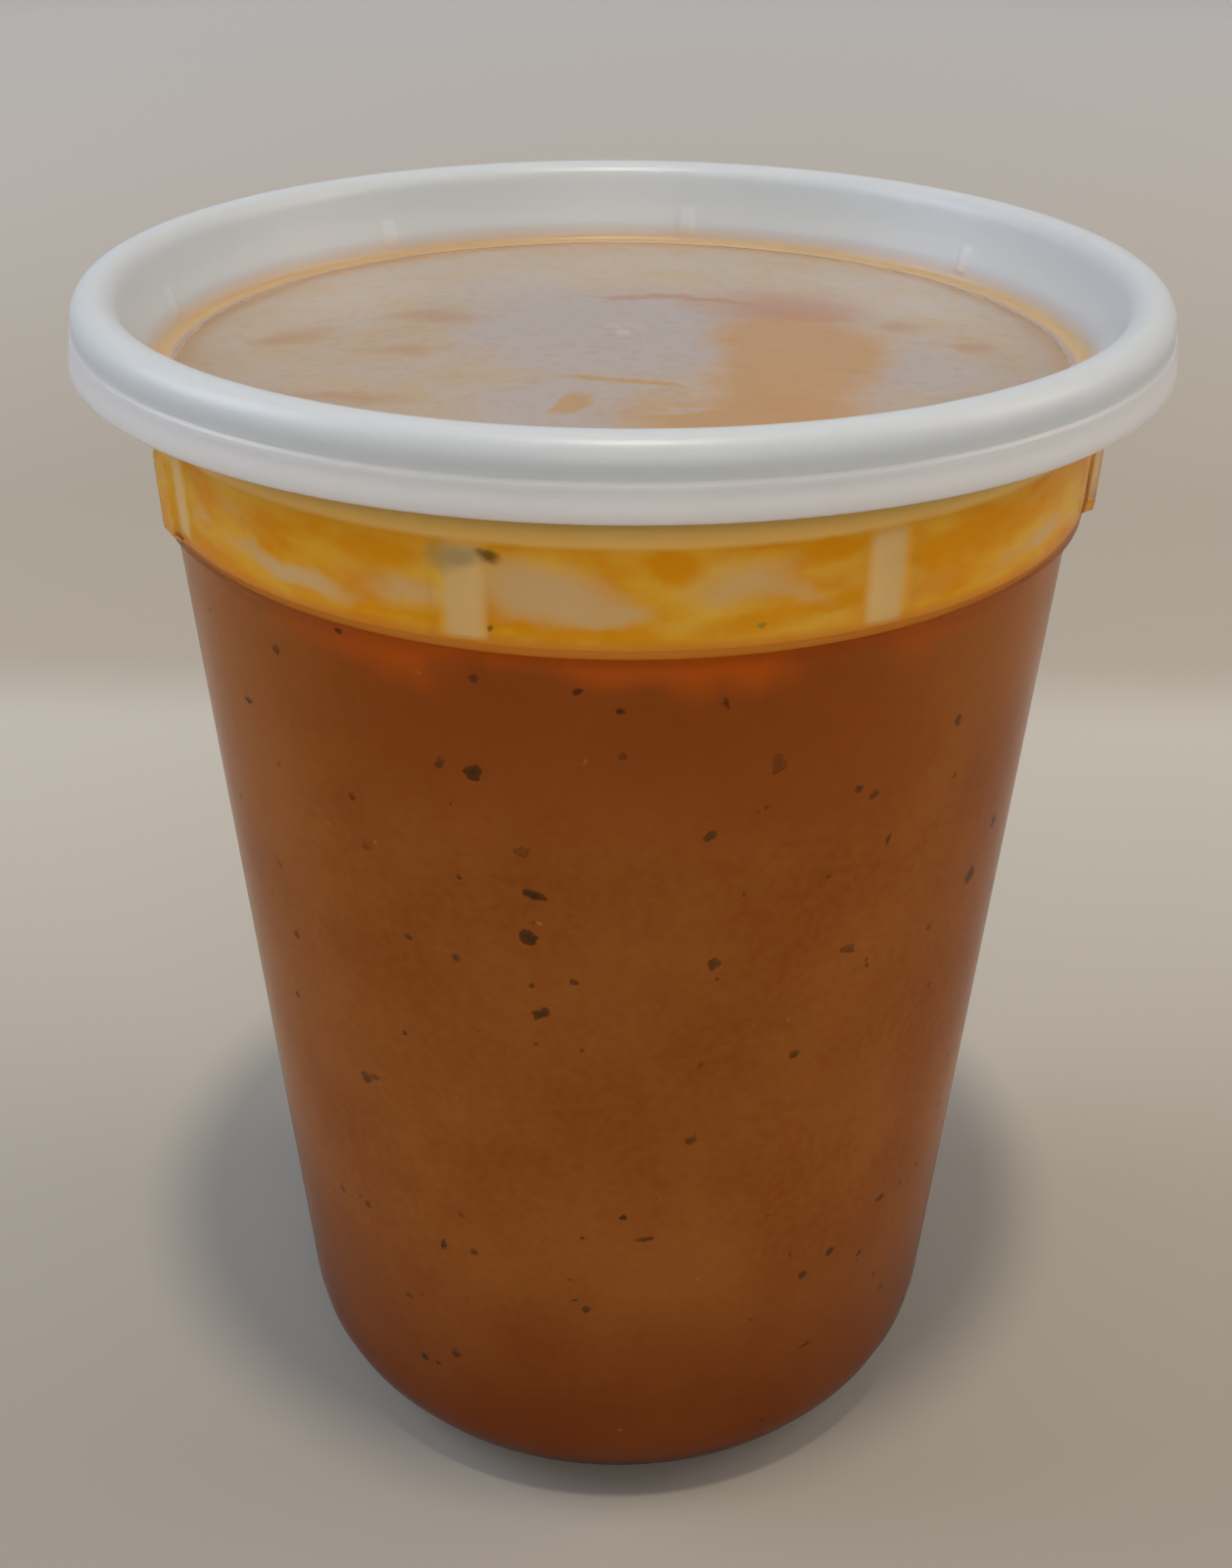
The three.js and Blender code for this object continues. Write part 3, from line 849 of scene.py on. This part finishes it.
def make_soup(material):
    inset = WALL - SOAK
    floor = FLOOR_HEIGHT - SOAK
    shore = body_radius(SHORE_HEIGHT, inset)
    level = SHORE_HEIGHT - 0.6
    corners = [
        (0, floor, 0),
        (body_radius(floor, inset), floor, BASE_ROUND - floor),
        (shore, SHORE_HEIGHT + 0.3, 0),
        (shore - 0.5, SHORE_HEIGHT, 0.2),
        (shore - 1.6, level + 0.1, 0.6),
        (shore - 4, level, 0),
        (0, level, 0),
    ]
    outline = divided(rounded(corners))
    return turned_piece("soup_body", outline, even_angles(), lift=soup_lift, material=material)


def make_collar_film(material):
    """A thin ring inside the collar that reaches just into the wall."""
    low = COLLAR_HEIGHT - 0.9
    ledge_height = COLLAR_HEIGHT + 0.4
    top = COLLAR_FILM_TOP
    outer = [
        (body_radius(low, WALL - SOAK), low, 0),
        (body_radius(ledge_height - 0.4, WALL - SOAK), ledge_height - 0.4, 0.2),
        (collar_radius(ledge_height, WALL - SOAK), ledge_height - 0.1, 0.3),
        (plug_radius(FLARE_HEIGHT, TUB_FACE - SOAK), FLARE_HEIGHT, 0.6),
        (plug_radius(top, TUB_FACE - SOAK), top, 0),
    ]
    inner = [
        (plug_radius(top, TUB_FACE + 0.1), top, 0),
        (plug_radius(FLARE_HEIGHT, TUB_FACE + 0.15), FLARE_HEIGHT, 0.6),
        (collar_radius(ledge_height, WALL + 0.2), ledge_height + 0.2, 0.3),
        (body_radius(low, WALL + 0.25), ledge_height - 0.1, 0.2),
        (body_radius(low, WALL + 0.25), low, 0),
    ]
    outline = divided(rounded(outer + inner, closed=True), closed=True)
    return turned_piece("film_in_collar", outline, even_angles(), closed=True, material=material)


def make_panel_film(material):
    """A thin sheet under the lid's panel that reaches just into it."""
    sheet = 0.3
    climb = PANEL_FILM_TOP
    sunk = LID_WALL - SOAK
    dome = domed(PANEL_RADIUS - DOME_UNDER_END, 24)
    lower = [(radius, height - sunk - sheet, 0) for radius, height in dome]
    upper = [(radius, height - sunk, 0) for radius, height in reversed(dome)]
    foot = PANEL_HEIGHT - sunk
    gap_face = TUB_FACE + 0.1
    lid_face = LID_UNDER + SOAK
    edge = [
        (plug_radius(foot - sheet, gap_face), foot - sheet, 0.9),
        (plug_radius(climb, gap_face), climb, 0),
        (plug_radius(climb, lid_face), climb, 0),
        (plug_radius(foot, lid_face), foot, 0.7),
    ]
    outline = divided(rounded(lower + edge + upper))
    return turned_piece("film_under_lid", outline, even_angles(), material=material)


# -------- herbs and specks

def chip(name, corners, length, width, thickness, dice):
    """One thin ragged chip, 1 unit long before scaling, with 'rim' 0 in the middle and 1 at its edge."""
    rings = [(0.55, 1.0), (1.0, 0.35), (1.0, -0.35), (0.55, -1.0)]
    reach = [dice.uniform(0.45, 1.0) for _ in range(corners)]
    bend = dice.uniform(-0.12, 0.12)
    vertices = [(0, 0, thickness)]
    rim = [0.0]
    for out, side in rings:
        for corner in range(corners):
            angle = TURN * corner / corners
            x = out * reach[corner] * math.cos(angle) * length / 2
            y = out * reach[corner] * math.sin(angle) * width / 2 + bend * x * x
            vertices.append((x, y, side * thickness))
            rim.append(1.0 if out == 1.0 else 0.3)
    vertices.append((0, 0, -thickness))
    rim.append(0.0)
    faces = []
    for corner in range(corners):
        after = (corner + 1) % corners
        faces.append((0, 1 + corner, 1 + after))
        for ring in range(3):
            start, below = 1 + ring * corners, 1 + (ring + 1) * corners
            faces.append((start + corner, below + corner, below + after, start + after))
        start = 1 + 3 * corners
        faces.append((start + corner, len(vertices) - 1, start + after))
    piece = new_piece(name, vertices, faces)
    note(piece, "rim", rim)
    return piece


def chip_collection(name, count, slimmest, thickness, seed):
    """A collection of differently ragged chips for scattering, each 1 mm long."""
    dice = random.Random(seed)
    collection = bpy.data.collections.new(name)
    for number in range(count):
        piece = chip(f"{name}_{number}", dice.choice((7, 8, 9)), MM, MM * dice.uniform(slimmest, 0.95),
                     thickness * MM, dice)
        bpy.context.scene.collection.objects.unlink(piece)
        collection.objects.link(piece)
    return collection


def carrier(name, low, high, inset, clear):
    """The strip of cone on which bits are strewn, facing outwards, left open for 'clear' degrees on
    either side of the front."""
    outline = [Vector((body_radius(height, inset), height)) for height in (low, high)]
    ring = turned_piece(name + "_ring", divided(outline), even_angles(64))
    vertices = [vertex.co[:] for vertex in ring.data.vertices]
    faces = []
    for face in ring.data.polygons:
        azimuth = math.degrees(math.atan2(face.center.x, -face.center.y))
        if abs(azimuth) >= clear:
            faces.append(face.vertices[:])
    drop(ring)
    return new_piece(name, vertices, faces)


def wall_spot(azimuth, height, inset):
    """A frame on the wall: X along it, Y up it and Z outwards, at an azimuth and a height."""
    turn = math.radians(azimuth - 90)
    outward = Vector((math.cos(turn) * math.cos(TAPER), math.sin(turn) * math.cos(TAPER), -math.sin(TAPER)))
    along = Vector((-math.sin(turn), math.cos(turn), 0))
    up = outward.cross(along)
    radius = (collar_radius if height > COLLAR_HEIGHT else body_radius)(height, inset)
    place = Vector((radius * math.cos(turn), radius * math.sin(turn), height)) * MM
    spot = Matrix((along, up, outward)).transposed().to_4x4()
    return Matrix.Translation(place) @ spot


def joined_piece(name, pieces, material):
    """Joins small pieces into one mesh, keeping their 'rim' and 'sunk' values."""
    vertices, faces = [], []
    kept = {"rim": [], "sunk": []}
    for piece in pieces:
        first = len(vertices)
        vertices.extend(vertex.co[:] for vertex in piece.data.vertices)
        faces.extend(tuple(first + corner for corner in face.vertices) for face in piece.data.polygons)
        for label, values in kept.items():
            values.extend(value.value for value in piece.data.attributes[label].data)
        drop(piece)
    whole = new_piece(name, vertices, faces, material)
    for label, values in kept.items():
        note(whole, label, values)
    return whole


# The herb leaves that stand out at the front: azimuth, height, length, width, turn and how deep they lie.
BOLD_LEAVES = [
    (-17, 106, 2.8, 2.2, 10, 0.05),
    (-21, 106.5, 1.6, 1.4, 60, 0.3),
    (-10.5, 92.5, 3.6, 1.5, 170, 0.0),
    (-11, 87, 2.6, 2.3, 120, 0.0),
    (-10, 77.5, 2.3, 2.0, 40, 0.1),
    (-5.5, 82, 1.9, 1.1, 150, 0.25),
    (-21, 83, 1.6, 1.2, 130, 0.25),
    (-11, 81, 1.1, 0.8, 20, 0.2),
    (12, 84, 2.1, 1.8, 60, 0.25),
    (31, 82, 2.4, 1.4, 165, 0.4),
    (-11.5, 97.5, 2.2, 1.8, 0, 0.45),
    (18.5, 107, 3.2, 2.2, 95, 0.5),
    (-4.5, 116, 1.5, 0.9, 30, 0.1),
    (0, 114, 1.2, 0.9, 0, 0.15),
    (45, 106, 1.5, 1.1, 80, 0.2),
    (32, 101, 1.6, 1.2, 20, 0.35),
    (4, 45.5, 3.1, 1.1, 8, 0.2),
    (1, 49, 1.3, 1.1, 0, 0.0),
    (-5, 45.5, 0.8, 0.7, 0, 0.1),
    (10, 60, 1.9, 1.5, 0, 0.4),
    (-37, 62, 1.8, 1.3, 0, 0.4),
    (-43, 40, 1.7, 1.4, 0, 0.35),
    (43, 32.5, 1.4, 1.1, 40, 0.1),
    (-36, 28, 1.4, 1.1, 0, 0.3),
    (-33, 118.6, 1.2, 0.9, 10, 0.0),
    (-13.6, 122.4, 0.9, 0.7, 0, 0.1),
    (14.5, 122.8, 1.3, 0.9, 0, 0.4),
]


def make_leaves(material, further):
    """The larger herb leaves, flat against the wall: those at the front and the further ones given."""
    dice = random.Random(11)
    leaves = [further]
    for number, (azimuth, height, length, width, turn, sunk) in enumerate(BOLD_LEAVES):
        leaf = chip(f"leaf_{number}", 11, length * MM, width * MM, LEAF_THICKNESS * MM, dice)
        spot = wall_spot(azimuth, height, WALL - SOAK - 0.03) @ Matrix.Rotation(math.radians(turn), 4, "Z")
        leaf.data.transform(spot)
        note(leaf, "sunk", [sunk] * len(leaf.data.vertices))
        leaves.append(leaf)
    return joined_piece("herb_leaves", leaves, material)


def strew(name, tree, collection, material, density, seed, sizes, sunk, clear=0):
    """Strews bits over the wall: how many a square metre, their sizes in mm and how deep they lie."""
    base = carrier(name + "_carrier", STREWN_LOW, STREWN_HIGH, WALL - SOAK - 0.01, clear)
    return grown(name, base, tree, {
        "Chips": collection, "Density": density, "Seed": seed, "Smallest": sizes[0], "Largest": sizes[1],
        "Least Sunk": sunk[0], "Most Sunk": sunk[1], "Material": material})


# -------- stage, light and camera

# Painted shade near the camera and painted light towards the back and far away; past the table's back edge,
# its own tone.
TABLE_NEAR_PAINTED_SHADE = "#a19b90"
TABLE_BEHIND_PAINTED_LIGHT = "#c1bbad"
TABLE_PAST_EDGE = "#b0a797"
TABLE_AWAY_PAINTED_LIGHT = "#f5eee4"
SKY = "#e4eaf4"
SKY_STRENGTH = 0.40

# The lamps: name, place and width in metres, watts and colour.
LAMPS = [
    ("ceiling_lamp", (0.03, -0.27, 1.6), 0.14, 9.8, "#fff1de"),
    ("front_fill", (0.1, -1.3, 0.65), 1.0, 5.2, "#fff8ee"),
    ("window_left", (-1.1, 0.1, 0.9), 0.8, 7.5, "#d4e2ff"),
    ("room_right", (1.1, 0.1, 0.9), 0.8, 4.6, "#ffeee2"),
]

# The camera, in metres and degrees.
CAMERA_PLACE = (0, -0.2068, 0.1936)
CAMERA_DOWN = 29.12
CAMERA_ROLL = 0.4
LENS = 44.08


def make_floor():
    """A wide pale table top with painted light and shade: darker near the camera, brighter towards the back
    and far away all round.
    """
    half = 4.0
    steps = 40
    row = steps + 1
    places = [-half + 2 * half * step / steps for step in range(row)]
    vertices = [(x, y, 0) for y in places for x in places]
    starts = [line * row + step for line in range(steps) for step in range(steps)]
    faces = [(start, start + 1, start + 1 + row, start + row) for start in starts]
    floor = new_piece("floor", vertices, faces)
    material, tree, place = new_finish("Matt laminate", Roughness=0.55, Specular_IOR_Level=0.25)
    back = add(tree, "SeparateXYZ", [place], 1)
    behind = add(tree, "MapRange", [back, -0.05, 0.165])
    past_edge = add(tree, "MapRange", [back, 0.17, 0.21], **SMOOTH)
    reach = add(tree, "VectorMath", [place], "Value", operation="LENGTH")
    away = add(tree, "MapRange", [reach, 0.35, 1.4])
    # Painted shade near the camera, painted light behind and far away.
    tone = laid_over(tree, TABLE_NEAR_PAINTED_SHADE, [
        (TABLE_BEHIND_PAINTED_LIGHT, behind), (TABLE_PAST_EDGE, past_edge), (TABLE_AWAY_PAINTED_LIGHT, away)])
    floor.data.materials.append(fed(material, Base_Color=tone))


def make_light(name, place, size, power, colour):
    """A round soft lamp that faces the tub."""
    light = bpy.data.lights.new(name, "AREA")
    light.shape = "DISK"
    light.size = size
    light.energy = power
    light.color = linear(colour)[:3]
    lamp = bpy.data.objects.new(name, light)
    lamp.location = place
    lamp.rotation_euler = (Vector((0, 0, 0.07)) - Vector(place)).to_track_quat("-Z", "Y").to_euler()
    bpy.context.scene.collection.objects.link(lamp)


def make_lights():
    world = bpy.data.worlds.new("Room light")
    world.use_nodes = True
    backdrop = world.node_tree.nodes["Background"]
    backdrop.inputs["Color"].default_value = linear(SKY)
    backdrop.inputs["Strength"].default_value = SKY_STRENGTH
    bpy.context.scene.world = world
    for lamp in LAMPS:
        make_light(*lamp)


def make_camera():
    """Looks down at the tub from in front, close enough that the tub narrows towards its base."""
    data = bpy.data.cameras.new("camera")
    data.sensor_fit = "AUTO"
    data.sensor_width = 36
    data.lens = LENS
    data.shift_x = -0.0025
    data.shift_y = 0.0052
    data.clip_start = 0.01
    camera = bpy.data.objects.new("camera", data)
    camera.location = CAMERA_PLACE
    tilt = Matrix.Rotation(math.radians(90 - CAMERA_DOWN), 4, "X")
    roll = Matrix.Rotation(math.radians(CAMERA_ROLL), 4, "Z")
    camera.rotation_euler = (tilt @ roll).to_euler()
    bpy.context.scene.collection.objects.link(camera)
    bpy.context.scene.camera = camera


# -------- putting it together

def finish_piece(piece, stands_for=None):
    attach(piece, "root")
    if stands_for:
        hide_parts(stands_for)


def build():
    colours = soup_colour_group()
    bars = bars_tree()
    scatter = scatter_tree()
    herb = chip_finish("Dried chopped herb", colours, HERB_TINT, roughness=0.6)
    pale = chip_finish("Onion and seed", colours, ONION_TINT, roughness=0.5)
    finish_piece(make_tub(bars, natural_polypropylene()), "tub")
    finish_piece(make_lid(bars, white_polyethylene()), "lid")
    finish_piece(make_soup(tomato_soup(colours)), "soup")
    finish_piece(make_collar_film(collar_film()))
    finish_piece(make_panel_film(panel_film()))
    leaf_chips = chip_collection("leaf_chips", count=6, slimmest=0.45, thickness=0.06, seed=3)
    further = strew("further_leaves", scatter, leaf_chips, herb,
                    density=1800, seed=14, sizes=(1.6, 3.4), sunk=(0.0, 0.45), clear=52)
    finish_piece(make_leaves(herb, further))
    seed_chips = chip_collection("seed_chips", count=4, slimmest=0.6, thickness=0.06, seed=5)
    flakes = strew("herb_flakes", scatter, leaf_chips, herb,
                   density=7500, seed=4, sizes=(0.5, 2.4), sunk=(0.1, 0.64))
    finish_piece(flakes)
    specks = strew("pale_specks", scatter, seed_chips, pale,
                   density=1500, seed=9, sizes=(0.5, 1.5), sunk=(0.45, 0.85))
    finish_piece(specks)


build()
make_floor()
make_lights()
make_camera()
bpy.context.scene.view_settings.view_transform = "Standard"
